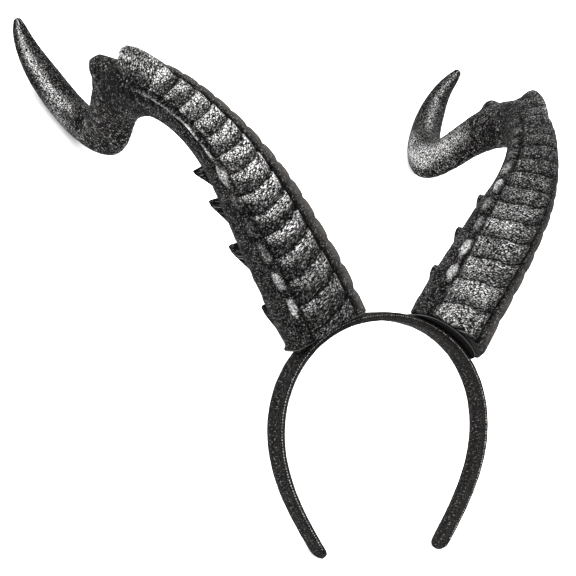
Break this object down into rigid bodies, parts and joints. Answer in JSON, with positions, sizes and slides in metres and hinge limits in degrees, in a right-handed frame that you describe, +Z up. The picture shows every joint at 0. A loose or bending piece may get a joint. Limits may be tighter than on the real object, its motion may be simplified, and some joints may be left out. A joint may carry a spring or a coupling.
{
  "type": "costume horn headband",
  "caption": "Fabric-covered headband carrying a pair of ringed foam dragon horns with nodules, fins, spikes and hooked claw tips, worn on the head as a costume piece.",
  "frame": {"origin": "middle of the bounding box, on the surface it lies on, with the band's leg ends and the claw tips touching that surface", "axes": "+X to the wearer's left, across the band; +Y from the leg ends towards the claw tips; +Z up from the surface, on the side of the horns' ringed faces"},
  "size_m": [0.3036, 0.3142, 0.1253],
  "materials": {
    "band_fabric": "black woven covering with faint glints and a light stitched edge",
    "horn_foam": "black skinned foam with a crackled, silver dry-brushed face",
    "pad_felt": "black felt"
  },
  "bodies": {
    "root": {"band": "band_fabric", "horn_left": "horn_foam", "horn_right": "horn_foam", "horn_pad_left": "pad_felt", "horn_pad_right": "pad_felt"}
  },
  "joints": []
}
